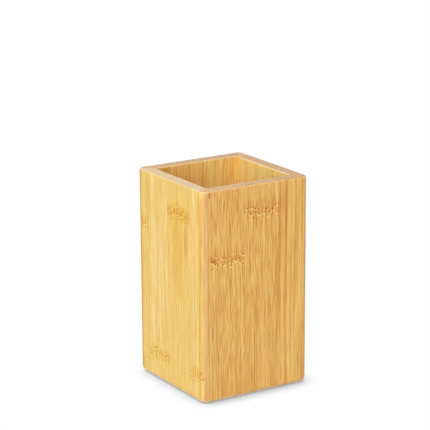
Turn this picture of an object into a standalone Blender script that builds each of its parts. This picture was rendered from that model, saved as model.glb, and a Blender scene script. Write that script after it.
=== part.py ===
# Square bamboo cup for a bathroom shelf: four walls of glued bamboo strips, mitred at the corners,
# with a base of strips let in between them.
# Metres, +Z up. The origin is the centre of the underside, and the front wall faces -Y.

from math import cos, pi, sin

import bmesh
import bpy
from mathutils import Matrix, Vector

# Driving sizes of the whole cup
cup_side = 0.065
cup_height = 0.113
wall_thickness = 0.0072
base_thickness = 0.007

# Rounded edges of the finished cup
corner_radius = 0.0036
foot_radius = 0.003
rim_radius = 0.001
mouth_radius = 0.0008

# Room for a glue line, between strips and at the mitres
glue_gap = 0.0003

# How far a strip's blank stands proud of the shape that it is sanded down to
overrun = 0.002

# Steps in each rounded edge
round_steps = 4

# The least radius that an upright corner keeps at the flat underside or rim, inside their rounding
least_turn = 0.0002

# How near to a saw's plane a corner counts as lying on it
saw_tolerance = 0.000001

# Where the glue lines of each wall fall, as shares of the cup's side, from the wall's left end to its
# right end as seen from outside. The walls are sawn from wide boards, so the outer strips are offcuts.
front_joint_shares = (0.058, 0.385, 0.708)
right_joint_shares = (0.182, 0.505, 0.828)
back_joint_shares = (0.108, 0.431, 0.754)
left_joint_shares = (0.169, 0.473, 0.808)

# The same for the base, as shares of the space between the walls
base_joint_shares = (0.200, 0.610)

# The walls in the order that quarter turns about Z reach them, each with its joints and its strips' tones
walls = (
    ("front", front_joint_shares, ("honey", "honey", "honey", "tan")),
    ("right", right_joint_shares, ("honey", "golden", "honey", "tan")),
    ("back", back_joint_shares, ("tan", "honey", "tan", "honey")),
    ("left", left_joint_shares, ("golden", "straw", "golden", "straw")),
)
base_tones = ("tan", "honey", "golden")

# Bamboo tones as sRGB shares of full red, green and blue
tone_shares = {
    "honey": (0.875, 0.686, 0.404),
    "tan": (0.843, 0.647, 0.400),
    "golden": (0.922, 0.757, 0.431),
    "straw": (0.937, 0.796, 0.502),
}
lacquer_roughness = 0.42


def clear_scene():
    for old in list(bpy.data.objects):
        bpy.data.objects.remove(old)


def new_collection(name):
    collection = bpy.data.collections.new(name)
    bpy.context.scene.collection.children.link(collection)
    return collection


def to_linear(share):
    if share <= 0.04045:
        return share / 12.92
    return ((share + 0.055) / 1.055) ** 2.4


def bamboo(name, tone):
    material = bpy.data.materials.new(name)
    material.use_nodes = True
    shader = material.node_tree.nodes["Principled BSDF"]
    colour = [to_linear(share) for share in tone_shares[tone]]
    shader.inputs["Base Color"].default_value = (*colour, 1.0)
    shader.inputs["Roughness"].default_value = lacquer_roughness
    shader.inputs["Metallic"].default_value = 0.0
    material.diffuse_color = (*colour, 1.0)
    return material


# A closed box between two corners
def box_mesh(low, high):
    size = high - low
    middle = (high + low) / 2
    bm = bmesh.new()
    bmesh.ops.create_cube(bm, size=1.0, matrix=Matrix.Translation(middle) @ Matrix.Diagonal((*size, 1.0)))
    return bm


def finish_object(name, bm, collection):
    bmesh.ops.recalc_face_normals(bm, faces=bm.faces)
    mesh = bpy.data.meshes.new(name)
    bm.to_mesh(mesh)
    bm.free()
    piece = bpy.data.objects.new(name, mesh)
    collection.objects.link(piece)
    return piece


# Cuts away what lies beyond a plane and closes the cut
def saw_off(bm, point, outward):
    everything = bm.verts[:] + bm.edges[:] + bm.faces[:]
    cut = bmesh.ops.bisect_plane(
        bm, geom=everything, dist=saw_tolerance, plane_co=point, plane_no=outward, clear_outer=True
    )
    edges = [part for part in cut["geom_cut"] if isinstance(part, bmesh.types.BMEdge) and part.is_boundary]
    if edges:
        bmesh.ops.contextual_create(bm, geom=edges)


def faces_up(face):
    return face.normal.z > 0.5


def faces_down(face):
    return face.normal.z < -0.5


def stands_upright(face):
    return abs(face.normal.z) < 0.5


# The side of a wall's blank that faces the space in the cup
def faces_inwards(face):
    return face.normal.y > 0.5


# Rounds the edges where a face that passes one test meets a face that passes the other
def round_over(bm, first_test, second_test, radius):
    bm.normal_update()
    edges = []
    for edge in bm.edges:
        a, b = edge.link_faces
        if (first_test(a) and second_test(b)) or (first_test(b) and second_test(a)):
            edges.append(edge)
    bmesh.ops.bevel(
        bm, geom=edges, offset=radius, affect="EDGES", segments=round_steps, profile=0.5, material=-1
    )


# Rounds the foot or the rim of the block. A radius too large to be carried around the upright corners
# is sawn off each side in flats, which then meet at the corners.
def round_end(bm, sides, end_test, end_height, end_normal, radius):
    half_step = pi / 4 / round_steps
    if radius + least_turn < corner_radius * cos(half_step):
        round_over(bm, stands_upright, end_test, radius)
        return
    for outward, point in sides:
        middle = Vector((point.x, point.y, end_height)) - (outward + end_normal) * radius
        for number in range(round_steps):
            angle = (2 * number + 1) * half_step
            flat_normal = outward * cos(angle) + end_normal * sin(angle)
            saw_off(bm, middle + flat_normal * radius * cos(half_step), flat_normal)


# The outer shape that the four glued walls are sanded to, a block with rounded edges.
# The upright corners come first, so that the foot and the rim are rounded along a smooth path.
def make_sanded_block(collection):
    half = cup_side / 2
    bm = box_mesh(Vector((-half, -half, 0.0)), Vector((half, half, cup_height)))
    round_over(bm, stands_upright, stands_upright, corner_radius)
    bm.normal_update()
    sides = [(face.normal.copy(), face.verts[0].co.copy()) for face in bm.faces if stands_upright(face)]
    round_end(bm, sides, faces_down, 0.0, Vector((0, 0, -1)), foot_radius)
    round_end(bm, sides, faces_up, cup_height, Vector((0, 0, 1)), rim_radius)
    block = finish_object("sanded_block", bm, collection)
    block.hide_render = True
    block.display_type = "WIRE"
    return block


# Left and right limits of each strip between the glue lines, each side clear of its glue line
def strip_limits(start, width, joint_shares, end_overrun):
    lines = [start + share * width for share in joint_shares]
    lefts = [start - end_overrun] + [line + glue_gap / 2 for line in lines]
    rights = [line - glue_gap / 2 for line in lines] + [start + width + end_overrun]
    return list(zip(lefts, rights))


# One wall: its strips are blanks, rounded at the mouth, mitred at the cup's corners and sanded to the
# block's shape outside. They are made facing -Y, then turned about Z.
def make_wall(quarter_turns, wall, joint_shares, tones, collection, block):
    half = cup_side / 2
    turn = Matrix.Rotation(quarter_turns * pi / 2, 4, "Z")
    limits = strip_limits(-half, cup_side, joint_shares, overrun)
    for number, ((left, right), tone) in enumerate(zip(limits, tones), start=1):
        bm = box_mesh(
            Vector((left, -half - overrun, -overrun)),
            Vector((right, wall_thickness - half, cup_height)),
        )
        round_over(bm, faces_up, faces_inwards, mouth_radius)
        for side in (-1, 1):
            outward = Vector((side, 1, 0)).normalized()
            corner = Vector((side * half, -half, 0.0))
            saw_off(bm, corner - outward * glue_gap / 2, outward)
        bm.transform(turn)
        name = f"{wall}_strip_{number}"
        strip = finish_object(name, bm, collection)
        strip.data.materials.append(bamboo(name, tone))
        sanding = strip.modifiers.new("sanding", "BOOLEAN")
        sanding.operation = "INTERSECT"
        sanding.solver = "EXACT"
        sanding.object = block


# The base is let in flush with the foot of the walls, its strips running front to back
def make_base(collection):
    reach = cup_side / 2 - wall_thickness - glue_gap
    limits = strip_limits(-reach, 2 * reach, base_joint_shares, 0.0)
    for number, ((left, right), tone) in enumerate(zip(limits, base_tones), start=1):
        name = f"base_strip_{number}"
        bm = box_mesh(Vector((left, -reach, 0.0)), Vector((right, reach, base_thickness)))
        strip = finish_object(name, bm, collection)
        strip.data.materials.append(bamboo(name, tone))


def main():
    clear_scene()
    cup = new_collection("bamboo_cup")
    cutters = new_collection("cutters")
    block = make_sanded_block(cutters)
    for quarter_turns, (wall, joint_shares, tones) in enumerate(walls):
        make_wall(quarter_turns, wall, joint_shares, tones, cup, block)
    make_base(cup)
    bpy.context.view_layer.update()


main()
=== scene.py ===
import math

import bmesh
import bpy
from mathutils import Matrix, Vector


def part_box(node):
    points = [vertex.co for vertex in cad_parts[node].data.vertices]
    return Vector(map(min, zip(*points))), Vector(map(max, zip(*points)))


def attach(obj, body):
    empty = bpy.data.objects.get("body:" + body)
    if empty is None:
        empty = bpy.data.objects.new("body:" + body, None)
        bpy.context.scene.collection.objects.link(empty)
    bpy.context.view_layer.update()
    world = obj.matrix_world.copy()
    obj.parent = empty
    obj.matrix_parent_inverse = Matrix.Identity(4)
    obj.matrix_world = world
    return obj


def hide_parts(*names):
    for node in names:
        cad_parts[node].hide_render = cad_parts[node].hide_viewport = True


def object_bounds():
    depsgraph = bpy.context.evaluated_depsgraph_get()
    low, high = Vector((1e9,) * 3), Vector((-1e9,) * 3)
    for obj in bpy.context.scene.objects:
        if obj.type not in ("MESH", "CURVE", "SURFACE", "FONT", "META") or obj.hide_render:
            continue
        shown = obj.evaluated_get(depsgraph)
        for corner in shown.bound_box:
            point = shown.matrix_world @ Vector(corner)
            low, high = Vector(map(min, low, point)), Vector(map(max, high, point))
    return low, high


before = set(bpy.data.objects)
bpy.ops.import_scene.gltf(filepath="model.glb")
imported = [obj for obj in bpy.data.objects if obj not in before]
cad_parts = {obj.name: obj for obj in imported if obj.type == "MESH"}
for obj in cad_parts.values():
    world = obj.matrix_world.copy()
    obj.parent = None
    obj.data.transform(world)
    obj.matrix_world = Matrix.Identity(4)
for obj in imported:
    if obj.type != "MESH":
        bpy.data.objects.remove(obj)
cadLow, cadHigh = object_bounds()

# A square bathroom cup: four walls and a base, each glued up from strips of bamboo
side = cadHigh.x - cadLow.x
height = cadHigh.z - cadLow.z
half = side / 2
cupMiddle = Vector((0, 0, height / 2))
wallLow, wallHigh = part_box("front_strip_2")
wallThickness = wallHigh.y - wallLow.y
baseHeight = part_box("base_strip_2")[1].z
mm = 1000  # Object coordinates are metres, the wood's patterns are in millimetres
white = (1, 1, 1, 1)


def hexParts(hexColour):
    # red, green and blue from 0 to 255, of sRGB hex such as "E9C07A"
    return [int(hexColour[i:i + 2], 16) for i in (0, 2, 4)]


def toLinear(hexColour):
    # the linear colour that the shaders work in, by the sRGB curve
    parts = [part / 255 for part in hexParts(hexColour)]
    return [p / 12.92 if p <= 0.04045 else ((p + 0.055) / 1.055) ** 2.4 for p in parts] + [1]


def shaded(hexColour, shares, step):
    # the colour made lighter or darker by a step of sRGB: darker bamboo is more orange
    parts = [round(part + share * step) for part, share in zip(hexParts(hexColour), shares)]
    return "".join(f"{min(max(part, 0), 255):02X}" for part in parts)


def firstOpen(sockets, key=0):
    # a socket by place or by name, counting only those that the node's settings leave open
    openSockets = [s for s in sockets if s.enabled]
    return openSockets[key] if isinstance(key, int) else next(s for s in openSockets if s.name == key)


def addNode(tree, kind, inputs=None, **settings):
    # adds a node, sets it, and gives each input a value or a link
    node = tree.nodes.new("ShaderNode" + kind)
    for name, value in settings.items():
        setattr(node, name, value)
    for key, value in (inputs or {}).items():
        socket = firstOpen(node.inputs, key)
        if isinstance(value, bpy.types.Node):
            value = firstOpen(value.outputs)
        if isinstance(value, bpy.types.NodeSocket):
            tree.links.new(value, socket)
        else:
            socket.default_value = value
    return node


def newMaterial(name):
    material = bpy.data.materials.new(name)
    material.use_nodes = True
    tree = material.node_tree
    return material, tree, tree.nodes["Principled BSDF"]


def fillRamp(ramp, stops):
    # colour stops as level and hex
    elements = ramp.color_ramp.elements
    while len(elements) < len(stops):
        elements.new(0.5)
    for element, (level, hexColour) in zip(elements, stops):
        element.position = level
        element.color = toLinear(hexColour)


# Bamboo pressed from split culm strips, planed flat, sanded and wiped with a satin lacquer:
# straight fibres with pointed darker flames, and a ragged ring of bent fibres at each node.
# Widths and lengths are in mm. A cut gives the two levels of a noise at which a pattern starts and is full.
bamboo = {
    "lineWidth": 0.6,  # long straight fibre bundles
    "lineLength": 60,
    "flameWidth": 0.42,  # darker sap-stained streaks with pointed ends
    "flameLength": 10,
    "flameLean": 2.2,  # how far a flame leans to and fro
    "flameCut": (0.36, 0.6),
    "calmCut": (0.36, 0.64),  # straight lines that take the flames' place near the foot
    "calmShare": 0.2,  # how much of the flames is left there
    "calmFoot": 0.25,  # share of the calm height below which the lines are fully there
    "fibreWidth": 0.4,  # single fibres are 0.2 mm, drawn coarser so that they show
    "fibreLength": 9,
    "cloudWidth": 9,  # slow changes of tone
    "cloudLength": 40,
    "goldWidth": 18,  # yellower places
    "goldLength": 40,
    "goldCut": (0.35, 0.65),
    "ragged": 0.7,  # roughness of the noises that have fine detail
    "depthShare": 0.7,  # how fast a pattern changes into the wall, against across it
    "seedSteps": {"clouds": 5, "flames": 11, "fibres": 17, "gold": 23},
    "patchCore": 0.3,  # share of a soft patch's reach that has its full strength
    "glueWidths": (0.05, 0.3),  # half the width of a glue line's core, and of the whole line
    "mitreSpread": 1.4,  # a mitre's line is this many times as wide
    "endGlue": 2,  # glue lines are this many times as dark across end grain
    "bundlesPerMm": 1.1,  # dark ends of bundles in the end grain
    "rimTurn": (0.15, 0.6),  # how far an edge has turned to up or down where its pale colour begins and is full: sanded wood and partly a painted highlight
    "cornerTurn": (0.05, 0.5),  # the same round an upright corner
    "endTurn": (0.8, 0.97),  # the same for end grain
    "roughness": 0.46,
    "roughnessSpread": 0.06,
    "endRoughness": 0.8,  # end grain soaks up the lacquer and stays matt
    "coat": 0.12,  # the lacquer
    "coatRoughness": 0.3,
    "grainStrength": 0.25,
    "grainDepth": 0.00002,  # how deep the fibres are felt, m
    "tones": {  # sRGB along the fibres and across them, and the shares of red, green and blue in a step
        "honey": ("E7B15A", "DEB57B", (0.65, 1.2, 1.15)),
        "rose": ("DAA85C", "DEB57B", (0.65, 1.2, 1.15)),
        "tan": ("ECB95F", "DEB57B", (0.65, 1.2, 1.15)),
        "pale": ("FFD07A", "D3A774", (0.65, 1.2, 1.15)),
        "golden": ("EAC463", "ECCE9C", (0.55, 1.05, 1.9)),
        "straw": ("ECC970", "ECCE9C", (0.55, 1.05, 1.9)),
        "cream": ("F9D582", "D3A774", (0.6, 1.3, 1.5)),
    },
    "shades": {0.0: -66, 0.3: -26, 0.5: 0, 0.7: 18, 1.0: 38},  # sRGB steps from the middle, by tone
    "gold": (1.0, 0.93, 0.55, 1.0),  # what a yellower place multiplies the colour by
    "endShades": {0.3: -34, 0.5: 0, 0.7: 12},  # sRGB steps of the end grain, by bundles
    # the pale colour of rounded edges: sanded wood, and partly a painted highlight
    "sandedEdge": "FFE2B0",
}

# The ring across a culm where a leaf sheath sat, in mm about its middle line
ring = {
    "core": 1 / 3,  # share of a ring's half width that has its full strength
    "waverScale": 0.16,  # how often the ring sways, per mm
    "spread": 0.9,  # how unevenly the middles of the arcs lie
    "arcs": 8.0,  # waves of bent fibres out from the middle of a cell
    "fray": 0.5,  # how far the fibres break the arcs up
    "paleCap": 0.75,  # the paler fibres between the arcs stay faint
    "underside": 0.2,  # arcs show in the lower half of a cell, and fade in over this share of it
    "teethPerMm": 0.9,
    "spikeCut": (0.42, 0.6),
    "spikeTip": 3.0,  # over which a spike runs out
    "spikeFoot": (-1.5, 0.5),  # where spikes start and are full
    "spikeShade": -0.5,
    "combStart": -1.0,  # from here a comb runs out down to its length, and up to the middle line
    "combCut": (0.35, 0.65),
    "combShade": 0.35,
}


def stretched(tree, grain, width, length, seed, **inputs):
    # a noise drawn out along the grain
    scale = (1 / width, bamboo["depthShare"] / width, 1 / length)
    drawnOut = addNode(tree, "VectorMath", {0: grain, 1: scale}, operation="MULTIPLY")
    return addNode(tree, "TexNoise", {"Vector": drawnOut, "W": seed, "Scale": 1.0} | inputs,
                   noise_dimensions="4D")


def culmRing(tree, across, up, fibres, row, seed):
    # fibres bent into nested arcs, with spikes above them and a comb below, and how near the ring is
    waver = addNode(tree, "TexNoise", {"W": across, "Scale": ring["waverScale"], "Detail": 2.0},
                    noise_dimensions="1D")
    # the middle line sways as far above its height as below it
    middle = addNode(tree, "Math", {0: waver, 1: 2 * row["sway"], 2: row["height"] - row["sway"]},
                     operation="MULTIPLY_ADD")
    rise = addNode(tree, "Math", {0: up, 1: middle}, operation="SUBTRACT")
    away = addNode(tree, "Math", {0: rise}, operation="ABSOLUTE")
    near = addNode(tree, "MapRange", {"Value": away, "From Min": row["width"] * ring["core"],
                                      "From Max": row["width"], "To Min": 1.0, "To Max": 0.0},
                   interpolation_type="SMOOTHSTEP")

    sheet = addNode(tree, "CombineXYZ", {"X": across, "Y": rise})
    cellScale = (1 / row["cell"], 1 / row["cell"], 0)
    cells = addNode(tree, "VectorMath", {0: sheet, 1: cellScale, 2: (seed, seed, 0)},
                    operation="MULTIPLY_ADD")
    cell = addNode(tree, "TexVoronoi", {"Vector": cells, "Scale": 1.0, "Randomness": ring["spread"]},
                   voronoi_dimensions="2D")
    fromMiddle = addNode(tree, "VectorMath", {0: cells, 1: cell.outputs["Position"]}, operation="SUBTRACT")
    cellAxes = addNode(tree, "SeparateXYZ", {0: fromMiddle})
    lower = addNode(tree, "MapRange", {"Value": cellAxes.outputs["Y"], "From Min": ring["underside"],
                                       "From Max": -ring["underside"]}, interpolation_type="SMOOTHSTEP")
    frayed = addNode(tree, "Math", {0: fibres, 1: ring["fray"], 2: cell.outputs["Distance"]},
                     operation="MULTIPLY_ADD")
    wave = addNode(tree, "Math", {0: frayed, 1: ring["arcs"]}, operation="MULTIPLY")
    arcs = addNode(tree, "Math", {0: wave}, operation="COSINE")
    capped = addNode(tree, "Math", {0: arcs, 1: ring["paleCap"]}, operation="MINIMUM")
    bent = addNode(tree, "Math", {0: capped, 1: lower}, operation="MULTIPLY")
    figure = addNode(tree, "Math", {0: bent, 1: near}, operation="MULTIPLY")

    teeth = addNode(tree, "TexNoise", {"W": across, "Scale": ring["teethPerMm"], "Detail": 1.0},
                    noise_dimensions="1D")
    spikeStart, spikeFull = ring["spikeCut"]
    spikeTop = addNode(tree, "MapRange", {"Value": teeth, "From Min": spikeStart, "From Max": spikeFull,
                                          "To Min": 0.0, "To Max": row["spikes"]})
    belowTop = addNode(tree, "Math", {0: spikeTop, 1: rise}, operation="SUBTRACT")
    spike = addNode(tree, "MapRange", {"Value": belowTop, "From Min": 0.0, "From Max": ring["spikeTip"]},
                    interpolation_type="SMOOTHSTEP")
    footStart, footFull = ring["spikeFoot"]
    above = addNode(tree, "MapRange", {"Value": rise, "From Min": footStart, "From Max": footFull},
                    interpolation_type="SMOOTHSTEP")
    spiked = addNode(tree, "Math", {0: spike, 1: above}, operation="MULTIPLY")
    figure = addNode(tree, "Math", {0: spiked, 1: ring["spikeShade"], 2: figure}, operation="MULTIPLY_ADD")

    comb = addNode(tree, "MapRange", {"Value": rise, "From Min": -row["comb"], "From Max": ring["combStart"]},
                   interpolation_type="SMOOTHSTEP")
    below = addNode(tree, "MapRange", {"Value": rise, "From Min": ring["combStart"], "From Max": 0.0,
                                       "To Min": 1.0, "To Max": 0.0})
    combed = addNode(tree, "Math", {0: comb, 1: below}, operation="MULTIPLY")
    combStart, combFull = ring["combCut"]
    toothed = addNode(tree, "MapRange", {"Value": teeth, "From Min": combStart, "From Max": combFull,
                                         "To Min": ring["combShade"], "To Max": -ring["combShade"]})
    return addNode(tree, "Math", {0: combed, 1: toothed, 2: figure}, operation="MULTIPLY_ADD"), near


def softPatch(tree, grain, middle, reach):
    # 1 in the core of a patch and 0 past its reach, both given across and up
    offset = addNode(tree, "VectorMath", {0: grain, 1: (middle[0], 0, middle[1])}, operation="SUBTRACT")
    shares = addNode(tree, "VectorMath", {0: offset, 1: (1 / reach[0], 0, 1 / reach[1])},
                     operation="MULTIPLY")
    away = addNode(tree, "VectorMath", {0: shares}, operation="LENGTH")
    return addNode(tree, "MapRange", {"Value": away.outputs["Value"], "From Min": bamboo["patchCore"],
                                      "From Max": 1.0, "To Min": 1.0, "To Max": 0.0},
                   interpolation_type="SMOOTHSTEP")


def glueLine(tree, across, joint, spread=1.0):
    # 1 in the core of a glue line and 0 beside it
    core, edge = [width * spread for width in bamboo["glueWidths"]]
    offset = addNode(tree, "Math", {0: across, 1: joint}, operation="SUBTRACT")
    away = addNode(tree, "Math", {0: offset}, operation="ABSOLUTE")
    return addNode(tree, "MapRange", {"Value": away, "From Min": core, "From Max": edge,
                                      "To Min": 1.0, "To Max": 0.0})


def bambooMaterial(name, look):
    material, tree, shader = newMaterial(name)
    coordinates = addNode(tree, "TexCoord")
    grain = addNode(tree, "Mapping", {"Vector": coordinates.outputs["Object"], "Location": look["offset"],
                                      "Rotation": look["rotation"], "Scale": (mm, mm, mm)})
    grainAxes = addNode(tree, "SeparateXYZ", {0: grain})
    across, depth, up = grainAxes.outputs
    seed = look["seed"]
    seeds = {pattern: seed + step for pattern, step in bamboo["seedSteps"].items()}
    ragged = bamboo["ragged"]

    lines = stretched(tree, grain, bamboo["lineWidth"], bamboo["lineLength"], seed, Detail=2.0,
                      Roughness=ragged)
    clouds = stretched(tree, grain, bamboo["cloudWidth"], bamboo["cloudLength"], seeds["clouds"])
    lean = addNode(tree, "MapRange", {"Value": clouds, "To Min": -bamboo["flameLean"],
                                      "To Max": bamboo["flameLean"]})
    sideways = addNode(tree, "CombineXYZ", {"X": lean})
    leaning = addNode(tree, "VectorMath", {0: grain, 1: sideways}, operation="ADD")
    sap = stretched(tree, leaning, bamboo["flameWidth"], bamboo["flameLength"], seeds["flames"], Detail=1.0)
    flameStart, flameFull = bamboo["flameCut"]
    flames = addNode(tree, "MapRange", {"Value": sap, "From Min": flameStart, "From Max": flameFull},
                     interpolation_type="SMOOTHSTEP")
    if look["calm"]:
        flaming = addNode(tree, "MapRange", {"Value": up, "From Min": look["calm"] * bamboo["calmFoot"],
                                             "From Max": look["calm"], "To Min": bamboo["calmShare"]})
        calmStart, calmFull = bamboo["calmCut"]
        calm = addNode(tree, "MapRange", {"Value": lines, "From Min": calmStart, "From Max": calmFull})
        flames = addNode(tree, "Mix", {"Factor": flaming, "A": calm, "B": flames})
    fibres = stretched(tree, grain, bamboo["fibreWidth"], bamboo["fibreLength"], seeds["fibres"], Detail=1.0)

    patterns = {"lines": lines, "flames": flames, "fibres": fibres, "clouds": clouds}
    tone = 0.5 + look["lift"] - sum(look[pattern] for pattern in patterns) / 2  # evens out to the middle
    for pattern, noise in patterns.items():
        tone = addNode(tree, "Math", {0: noise, 1: look[pattern], 2: tone}, operation="MULTIPLY_ADD")
    hue = stretched(tree, grain, bamboo["goldWidth"], bamboo["goldLength"], seeds["gold"], Detail=4.0,
                    Roughness=ragged)
    goldStart, goldFull = bamboo["goldCut"]
    gold = addNode(tree, "MapRange", {"Value": hue, "From Min": goldStart, "From Max": goldFull,
                                      "To Min": 0.0, "To Max": look["gold"]})

    for middleAcross, middleUp, reachAcross, reachUp, shade, yellow in look["patches"]:
        patch = softPatch(tree, grain, (middleAcross, middleUp), (reachAcross, reachUp))
        tone = addNode(tree, "Math", {0: patch, 1: shade, 2: tone}, operation="MULTIPLY_ADD")
        gold = addNode(tree, "Math", {0: patch, 1: yellow, 2: gold}, operation="MULTIPLY_ADD")
    for row in look["rows"]:
        figure, near = culmRing(tree, across, up, fibres, row, seed)
        tone = addNode(tree, "Math", {0: near, 1: row["shade"], 2: tone}, operation="MULTIPLY_ADD")
        tone = addNode(tree, "Math", {0: figure, 1: row["strength"], 2: tone}, operation="MULTIPLY_ADD")
        gold = addNode(tree, "Math", {0: near, 1: row["gold"], 2: gold}, operation="MULTIPLY_ADD")

    # thin darker lines of glue at the joints, and on the end grain also where walls meet in a mitre
    glued = [glueLine(tree, across, joint) for joint in look["joints"]]
    mitred = []
    for slant, corner in look["mitres"]:
        slanted = addNode(tree, "Math", {0: depth, 1: slant, 2: across}, operation="MULTIPLY_ADD")
        mitred.append(glueLine(tree, slanted, corner, bamboo["mitreSpread"]))
    for line in glued:
        tone = addNode(tree, "Math", {0: line, 1: -look["glue"], 2: tone}, operation="MULTIPLY_ADD")

    alongColour, endColour, shares = bamboo["tones"][look["tone"]]
    wood = addNode(tree, "ValToRGB", {"Fac": tone})
    fillRamp(wood, [(level, shaded(alongColour, shares, step)) for level, step in bamboo["shades"].items()])
    colour = addNode(tree, "Mix", {"Factor": gold, "A": wood, "B": bamboo["gold"]}, data_type="RGBA",
                     blend_type="MULTIPLY")

    # end grain drinks in lacquer and turns pinkish, with dark ends of bundles
    bundles = addNode(tree, "TexNoise", {"Vector": grain, "W": seed, "Scale": bamboo["bundlesPerMm"],
                                         "Detail": 2.0}, noise_dimensions="4D")
    for line in glued + mitred:
        bundles = addNode(tree, "Math", {0: line, 1: -bamboo["endGlue"] * look["glue"], 2: bundles},
                          operation="MULTIPLY_ADD")
    endGrain = addNode(tree, "ValToRGB", {"Fac": bundles})
    fillRamp(endGrain, [(level, shaded(endColour, shares, step + look["endStep"]))
                        for level, step in bamboo["endShades"].items()])

    # rounded edges are paler: partly sanded wood, partly a painted highlight of the light that the rounding
    # catches
    facing = addNode(tree, "SeparateXYZ", {0: coordinates.outputs["Normal"]})
    toEnd = addNode(tree, "Math", {0: facing.outputs[look["endAxis"]]}, operation="ABSOLUTE")
    toSides = [addNode(tree, "Math", {0: facing.outputs[axis]}, operation="ABSOLUTE")
               for axis in look["sideAxes"]]
    turned = addNode(tree, "Math", {0: toSides[0], 1: toSides[1]}, operation="MINIMUM")
    rimStart, rimFull = bamboo["rimTurn"]
    atRim = addNode(tree, "MapRange", {"Value": toEnd, "From Min": rimStart, "From Max": rimFull,
                                       "To Max": look["sanded"]}, interpolation_type="SMOOTHSTEP")
    cornerStart, cornerFull = bamboo["cornerTurn"]
    atCorner = addNode(tree, "MapRange", {"Value": turned, "From Min": cornerStart, "From Max": cornerFull,
                                          "To Max": look["cornerWearAndHighlight"]}, interpolation_type="SMOOTHSTEP")
    sanded = addNode(tree, "Math", {0: atRim, 1: atCorner}, operation="MAXIMUM")
    edged = addNode(tree, "Mix", {"Factor": sanded, "A": colour, "B": toLinear(bamboo["sandedEdge"])},
                    data_type="RGBA")
    endStart, endFull = bamboo["endTurn"]
    isEnd = addNode(tree, "MapRange", {"Value": toEnd, "From Min": endStart, "From Max": endFull},
                    interpolation_type="SMOOTHSTEP")
    finished = addNode(tree, "Mix", {"Factor": isEnd, "A": edged, "B": endGrain}, data_type="RGBA")
    tree.links.new(firstOpen(finished.outputs), shader.inputs["Base Color"])

    dullest = bamboo["roughness"] + bamboo["roughnessSpread"]
    glossiest = bamboo["roughness"] - bamboo["roughnessSpread"]
    shine = addNode(tree, "MapRange", {"Value": fibres, "To Min": dullest, "To Max": glossiest})
    matt = addNode(tree, "Mix", {"Factor": isEnd, "A": shine, "B": bamboo["endRoughness"]})
    tree.links.new(firstOpen(matt.outputs), shader.inputs["Roughness"])
    shader.inputs["Coat Weight"].default_value = bamboo["coat"]
    shader.inputs["Coat Roughness"].default_value = bamboo["coatRoughness"]
    bump = addNode(tree, "Bump", {"Strength": bamboo["grainStrength"], "Distance": bamboo["grainDepth"],
                                  "Height": fibres})
    tree.links.new(bump.outputs[0], shader.inputs["Normal"])
    return material


shape = {  # rounded edges, in metres
    "corner": 0.0036,  # upright outer corners
    "foot": 0.003,
    "rim": 0.001,  # outer edge of the rim
    "mouth": 0.0008,  # inner edge of the rim
    "softened": 0.00025,  # broken edges of the base's strips, which show as fine lines between them
    "cornerSteps": 16,
    "edgeSteps": 8,
    "softenedSteps": 2,
    "sawTolerance": 1e-7,  # how near to a saw's plane a corner counts as lying on it
    "sharpAngle": 30,  # edges that turn by more degrees stay sharp
    "square": 0.99,  # least part of a face's normal along an axis at which the face looks that way
}


def looksUp(face):
    return face.normal.z > shape["square"]


def looksDown(face):
    return face.normal.z < -shape["square"]


def standsUpright(face):
    return abs(face.normal.z) < 1 - shape["square"]


def looksInwards(face):
    return face.normal.y > shape["square"]


def anyFace(face):
    return True


def roundOver(bm, firstTest, secondTest, radius, steps):
    # rounds the edges where a face that passes one test meets a face that passes the other
    bm.normal_update()
    found = []
    for edge in bm.edges:
        a, b = edge.link_faces
        if firstTest(a) and secondTest(b) or firstTest(b) and secondTest(a):
            found.append(edge)
    bmesh.ops.bevel(bm, geom=found, offset=radius, affect="EDGES", segments=steps, profile=0.5, material=-1)


def sandedBlock():
    # the cup's outer shape as a block with its edges rounded, which the strips are then sawn out of
    bm = bmesh.new()
    bmesh.ops.create_cube(bm, size=1)
    bmesh.ops.scale(bm, vec=(side, side, height), verts=bm.verts)
    bmesh.ops.translate(bm, vec=cupMiddle, verts=bm.verts)
    roundOver(bm, standsUpright, standsUpright, shape["corner"], shape["cornerSteps"])
    roundOver(bm, standsUpright, looksDown, shape["foot"], shape["edgeSteps"])
    roundOver(bm, standsUpright, looksUp, shape["rim"], shape["edgeSteps"])
    return bm


def saw(bm, outward, point=(0, 0, 0)):
    # takes away what is beyond a plane and closes the cut
    everything = bm.verts[:] + bm.edges[:] + bm.faces[:]
    cut = bmesh.ops.bisect_plane(bm, geom=everything, dist=shape["sawTolerance"], plane_co=point,
                                 plane_no=outward, clear_outer=True)
    outline = [g for g in cut["geom_cut"] if isinstance(g, bmesh.types.BMEdge) and g.is_boundary]
    bmesh.ops.holes_fill(bm, edges=outline, sides=0)


def addPiece(name, bm, node, material):
    bmesh.ops.recalc_face_normals(bm, faces=bm.faces)
    mesh = bpy.data.meshes.new(name)
    bm.to_mesh(mesh)
    bm.free()
    mesh.shade_smooth()
    mesh.set_sharp_from_angle(angle=math.radians(shape["sharpAngle"]))
    mesh.materials.append(material)
    piece = bpy.data.objects.new(name, mesh)
    bpy.context.scene.collection.objects.link(piece)
    flatFaces = piece.modifiers.new("flatFaces", "WEIGHTED_NORMAL")  # broad faces stay flat beside roundings
    flatFaces.keep_sharp = True
    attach(piece, "root")
    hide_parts(node)


def seams(nodes, axis=0, sign=1):
    # where neighbouring strips meet, in metres along an axis, or against it if sign is -1
    nearEnd, farEnd = (0, 1) if sign > 0 else (1, 0)
    return [sign * (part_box(before)[farEnd][axis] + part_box(after)[nearEnd][axis]) / 2
            for before, after in zip(nodes, nodes[1:])]


print("strips of the walls")
top = height * mm
middle = top / 2
whole = 150  # half length of a patch that runs the whole height, mm

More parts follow.
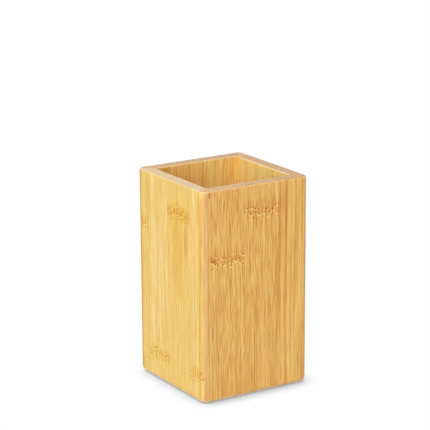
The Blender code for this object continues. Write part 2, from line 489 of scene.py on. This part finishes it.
# How a strip looks: first how strongly each pattern moves its tone
plain = {
    "lines": 0.95,
    "flames": 0.08,
    "fibres": 0.5,
    "clouds": 0.14,
    "lift": 0.0,  # lighter or darker all over
    "gold": 0.2,  # how yellow it gets in places
    "glue": 0.08,  # darkness of its glue lines
    "cornerWearAndHighlight": 0.1,  # how far the upright rounded edge turns pale: sanded wood and partly a painted highlight
    "sanded": 0.7,  # the same, sanded wood and painted highlight, for the rim's and the foot's edge
    "endStep": 0,  # sRGB step of the end grain
    "calm": 0,  # height in mm below which flames run out into straight lines, if any
    "patches": [],  # soft patches: middle across and up, reach across and up, and shifts of tone and gold
    "rows": [],  # rings of bent fibres at the nodes
}
figured = plain | {"lines": 0.6, "flames": 0.3, "clouds": 0.15}

# Rings, by how much they show and their sizes in mm: half width, arcs, sway, spikes above and comb below
faint = {"strength": 0.36, "shade": -0.08, "gold": 0.9,
         "width": 5.5, "cell": 2.2, "sway": 1.5, "spikes": 3, "comb": 4}
bold = {"strength": 0.5, "shade": 0.0, "gold": 0.2,
        "width": 5, "cell": 2.5, "sway": 2, "spikes": 9, "comb": 14}

# The walls in the order that quarter turns about Z reach them, each strip from left to right as seen
# from outside
walls = {
    "front": [
        plain | {"tone": "rose", "seed": 3.1, "glue": 0.03,
                 # its first patch, lighter at the top of the near corner, is a painted highlight
                 "patches": [(0.5, top - 1.5, 3, 3, 0.1, 0), (0.6, middle, 2.8, whole, -0.09, 0)]},
        figured | {"tone": "honey", "seed": 7.7, "glue": 0.03, "sanded": 0.42, "calm": 26,
                   "rows": [bold | {"height": top - 38}],
                   "patches": [(4.0, middle, 0.8, whole, 0.05, 0), (4.2, top - 2, 0.7, 2.6, -0.6, 0),
                               (12, top - 12, 13, 16, -0.07, 0), (15, 12, 60, 26, 0, -0.2),
                               (15, top - 5, 60, 14, 0, -0.2)]},
        figured | {"tone": "honey", "seed": 12.4, "flames": 0.26, "sanded": 0.35, "endStep": -6, "calm": 52,
                   "rows": [bold | {"height": top - 15, "strength": 0.44}],
                   "patches": [(35, 12, 60, 26, 0, -0.2), (35, top - 5, 60, 14, 0, -0.2),
                               (45.4, top - 45, 2.6, 30, -0.13, 0)]},
        plain | {"tone": "tan", "seed": 18.3, "lines": 1.3, "flames": 0.03, "lift": 0.015, "sanded": 0.2,
                 "endStep": -13,
                 "patches": [(47.1, middle, 0.6, whole, -0.08, 0), (48.6, middle, 1.1, whole, 0.08, -0.3),
                             (50.8, middle, 0.7, whole, -0.2, 0), (54.2, middle, 0.5, whole, -0.08, 0),
                             (61.2, 22, 1.7, 45, -0.14, 0.3), (48, top - 26, 3.5, 32, -0.12, 0),
                             (49.5, middle, 4.5, whole, -0.04, -0.1), (54, top - 10, 13, 16, -0.06, -0.2),
                             (55, 12, 60, 26, 0, -0.2)]},
    ],
    "right": [
        plain | {"tone": "cream", "seed": 23.9, "sanded": 0.95},
        figured | {"tone": "cream", "seed": 28.2, "flames": 0.2, "sanded": 0.95,
                   "rows": [faint | {"height": 31}]},
        plain | {"tone": "cream", "seed": 33.5, "sanded": 0.95, "rows": [bold | {"height": 84}]},
        plain | {"tone": "tan", "seed": 37.1, "patches": [(55.8, top - 10, 5, 40, 0.2, -0.3)]},
    ],
    "back": [
        plain | {"tone": "pale", "seed": 41.6},
        figured | {"tone": "pale", "seed": 46.3, "rows": [bold | {"height": 47}]},
        plain | {"tone": "pale", "seed": 52.8, "lift": -0.07, "rows": [faint | {"height": 92}]},
        figured | {"tone": "honey", "seed": 57.4, "flames": 0.2},
    ],
    "left": [
        plain | {"tone": "golden", "seed": 61.2, "lift": -0.02, "rows": [faint | {"height": top - 28}],
                 # the second patch, dark all the way up, is painted shade on the far upright corner where it
                 # turns from the light
                 "patches": [(1, top - 66, 3, 60, -0.12, 0.2), (2, middle, 3.2, 2 * whole, -0.45, -0.2),
                             (8, top - 15, 9, 38, 0, -0.3)]},
        plain | {"tone": "straw", "seed": 66.7, "lift": -0.02, "sanded": 0.6,
                 "rows": [faint | {"height": top - 98}]},
        plain | {"tone": "golden", "seed": 71.9, "lift": -0.02, "sanded": 0.5,
                 "rows": [faint | {"height": top - 16}],
                 "patches": [(35, top - 88, 14, 24, 0.05, -0.2), (41.5, top - 16, 14, 7, -0.03, 0.2),
                             (39.5, top - 40, 6, 30, -0.1, 0.8), (48.5, top - 30, 2.2, 16, -0.2, 0.6)]},
        plain | {"tone": "straw", "seed": 76.5, "lift": -0.02, "cornerWearAndHighlight": 0.2, "sanded": 0.55,
                 "rows": [faint | {"height": top - 98}],
                 "patches": [(61.8, middle, 1.5, whole, -0.16, 0.1), (64.2, middle, 2.4, whole, -0.24, -0.3),
                             # the next patch, lighter at the top of the near corner, is a painted highlight
                             (64, top - 1.5, 3, 3, 0.1, -0.3)]},
    ],
}
block = sandedBlock()
for quarterTurns, (wall, looks) in enumerate(walls.items()):
    turn = quarterTurns * math.pi / 2
    axis = quarterTurns % 2
    sign = 1 if quarterTurns < 2 else -1  # the back and left walls run against their axis
    last = len(looks)
    nodes = [f"{wall}_strip_{number}" for number in range(1, last + 1)]
    cuts = [-half] + seams(nodes, axis, sign) + [half]
    for number, (node, look) in enumerate(zip(nodes, looks), start=1):
        # made facing -Y: sawn to the mitres, the joints and the wall's thickness, then turned into place
        bm = block.copy()
        for mitre in ((1, 1, 0), (-1, 1, 0)):
            saw(bm, mitre)
        if number > 1:
            saw(bm, (-1, 0, 0), (cuts[number - 1], 0, 0))
        if number < last:
            saw(bm, (1, 0, 0), (cuts[number], 0, 0))
        saw(bm, (0, 1, 0), (0, wallThickness - half, 0))
        roundOver(bm, looksUp, looksInwards, shape["mouth"], shape["edgeSteps"])
        bm.transform(Matrix.Rotation(turn, 4, "Z"))
        joints = [(cut + half) * mm for cut in cuts[max(number - 1, 1):min(number + 1, last)]]
        mitres = {1: [(-1, 0)], last: [(1, side * mm)]}.get(number, [])
        setting = {"offset": (half * mm, half * mm, 0), "rotation": (0, 0, -turn), "endAxis": "Z",
                   "sideAxes": "XY", "joints": joints, "mitres": mitres}
        material = bambooMaterial(f"lacqueredBamboo_{node}", look | setting)
        addPiece(f"{wall}Strip{number}", bm, node, material)
block.free()

print("strips of the base")
baseLooks = [
    plain | {"tone": "tan", "seed": 81.4},
    figured | {"tone": "honey", "seed": 86.9, "flames": 0.2},
    plain | {"tone": "pale", "seed": 92.3},
]
reach = half - wallThickness
nodes = [f"base_strip_{number}" for number in range(1, len(baseLooks) + 1)]
cuts = [-reach] + seams(nodes) + [reach]
for number, (node, look) in enumerate(zip(nodes, baseLooks), start=1):
    left, right = cuts[number - 1], cuts[number]
    bm = bmesh.new()
    bmesh.ops.create_cube(bm, size=1)
    bmesh.ops.scale(bm, vec=(right - left, 2 * reach, baseHeight), verts=bm.verts)
    bmesh.ops.translate(bm, vec=((left + right) / 2, 0, baseHeight / 2), verts=bm.verts)
    roundOver(bm, anyFace, anyFace, shape["softened"], shape["softenedSteps"])
    setting = {"offset": (0, 0, 0), "rotation": (math.pi / 2, 0, 0), "endAxis": "Y", "sideAxes": "XZ",
               "joints": [], "mitres": []}
    material = bambooMaterial(f"lacqueredBamboo_{node}", look | setting)
    addPiece(f"baseStrip{number}", bm, node, material)

print("floor, light and camera")
studio = {
    "floorSize": 6,  # m
    "paper": "F2F2F2",
    "paperRoughness": 0.9,
    "shadowReach": 0.011,  # how far out from the foot the contact shadow fades, m
    "shadowDepth": 1.05,  # its strength
    "shadowFall": 1.8,  # above 1 the shadow is deep at the foot and thins out early
    "shadowFloor": 0.42,  # the darkest that it gets
    "shadowLean": (-0.1, 0.2, 0.97),  # tips its sampling backwards, so that it is deeper before the front
    "shadowSamples": 16,
    "dome": 0.34,  # light from all round
    "softBoxes": [  # position, size and watts: the main one at front left, a weaker one at back right
        ((-1.0, -0.75, 0.8), 1.5, 19.0),
        ((0.9, 0.9, 0.5), 1.5, 9.0),
    ],
}


def seenDirectly(tree):
    # 1 for camera, mirror and see-through rays, which meet the white background
    path = addNode(tree, "LightPath")
    direct = addNode(tree, "Math", {0: path.outputs["Is Camera Ray"], 1: path.outputs["Is Glossy Ray"]},
                     operation="MAXIMUM")
    return addNode(tree, "Math", {0: direct, 1: path.outputs["Is Transmission Ray"]}, operation="MAXIMUM")


floorBm = bmesh.new()
bmesh.ops.create_grid(floorBm, x_segments=1, y_segments=1, size=studio["floorSize"] / 2)
floorMesh = bpy.data.meshes.new("floor")
floorBm.to_mesh(floorMesh)
floorBm.free()
floor = bpy.data.objects.new("floor", floorMesh)
bpy.context.scene.collection.objects.link(floor)

# White background paper: plain and matt, seen as pure white but for the soft shadow at the cup's foot
paper, tree, shader = newMaterial("whitePaper")
shader.inputs["Base Color"].default_value = toLinear(studio["paper"])
shader.inputs["Roughness"].default_value = studio["paperRoughness"]
shadowLean = addNode(tree, "CombineXYZ", dict(enumerate(studio["shadowLean"])))
shade = addNode(tree, "AmbientOcclusion", {"Distance": studio["shadowReach"], "Normal": shadowLean},
                samples=studio["shadowSamples"])
hidden = addNode(tree, "Math", {0: 1.0, 1: shade.outputs["AO"]}, operation="SUBTRACT")
deep = addNode(tree, "Math", {0: hidden, 1: studio["shadowFall"]}, operation="POWER")
lit = addNode(tree, "Math", {0: deep, 1: -studio["shadowDepth"], 2: 1.0}, operation="MULTIPLY_ADD")
soft = addNode(tree, "Math", {0: lit, 1: studio["shadowFloor"]}, operation="MAXIMUM")
glow = addNode(tree, "Emission", {"Color": white, "Strength": soft})
mixed = addNode(tree, "MixShader", {0: seenDirectly(tree), 1: shader, 2: glow})
tree.links.new(mixed.outputs[0], tree.nodes["Material Output"].inputs["Surface"])
floorMesh.materials.append(paper)

world = bpy.data.worlds.new("studio")
bpy.context.scene.world = world
world.use_nodes = True
tree = world.node_tree
background = tree.nodes["Background"]
level = addNode(tree, "MapRange", {"Value": seenDirectly(tree), "To Min": studio["dome"], "To Max": 1.0})
background.inputs["Color"].default_value = white
tree.links.new(level.outputs[0], background.inputs["Strength"])

for position, size, watts in studio["softBoxes"]:
    softBox = bpy.data.lights.new("softBox", "AREA")
    softBox.size = size
    softBox.energy = watts
    lamp = bpy.data.objects.new("softBox", softBox)
    bpy.context.scene.collection.objects.link(lamp)
    lamp.location = position
    lamp.rotation_euler = (cupMiddle - lamp.location).to_track_quat("-Z", "Y").to_euler()

camera = {
    "azimuth": -32.52,  # degrees round the cup from its front
    "elevation": 17.13,
    "distance": 0.9707,  # from the cup's middle, m
    "turn": 0.237,  # degrees that the camera looks past the cup's middle
    "tilt": -1.872,
    "roll": -0.318,
    "focal": 1828.7,  # in pixels of the picture
    "pictureWidth": 430,
    "sensorWidth": 36,  # mm
}


def fromCup(azimuth, elevation):
    # the direction to the camera, from degrees round and above the cup
    a, e = math.radians(azimuth), math.radians(elevation)
    return Vector((math.sin(a) * math.cos(e), -math.cos(a) * math.cos(e), math.sin(e)))


lens = bpy.data.cameras.new("camera")
lens.sensor_width = camera["sensorWidth"]
lens.lens = camera["focal"] / camera["pictureWidth"] * lens.sensor_width
eye = bpy.data.objects.new("camera", lens)
bpy.context.scene.collection.objects.link(eye)
eye.location = fromCup(camera["azimuth"], camera["elevation"]) * camera["distance"] + cupMiddle
backwards = fromCup(camera["azimuth"] + camera["turn"], camera["elevation"] + camera["tilt"])
aim = backwards.to_track_quat("Z", "Y").to_matrix().to_4x4()
eye.rotation_euler = (aim @ Matrix.Rotation(math.radians(camera["roll"]), 4, "Z")).to_euler()
bpy.context.scene.camera = eye
bpy.context.scene.view_settings.view_transform = "Standard"
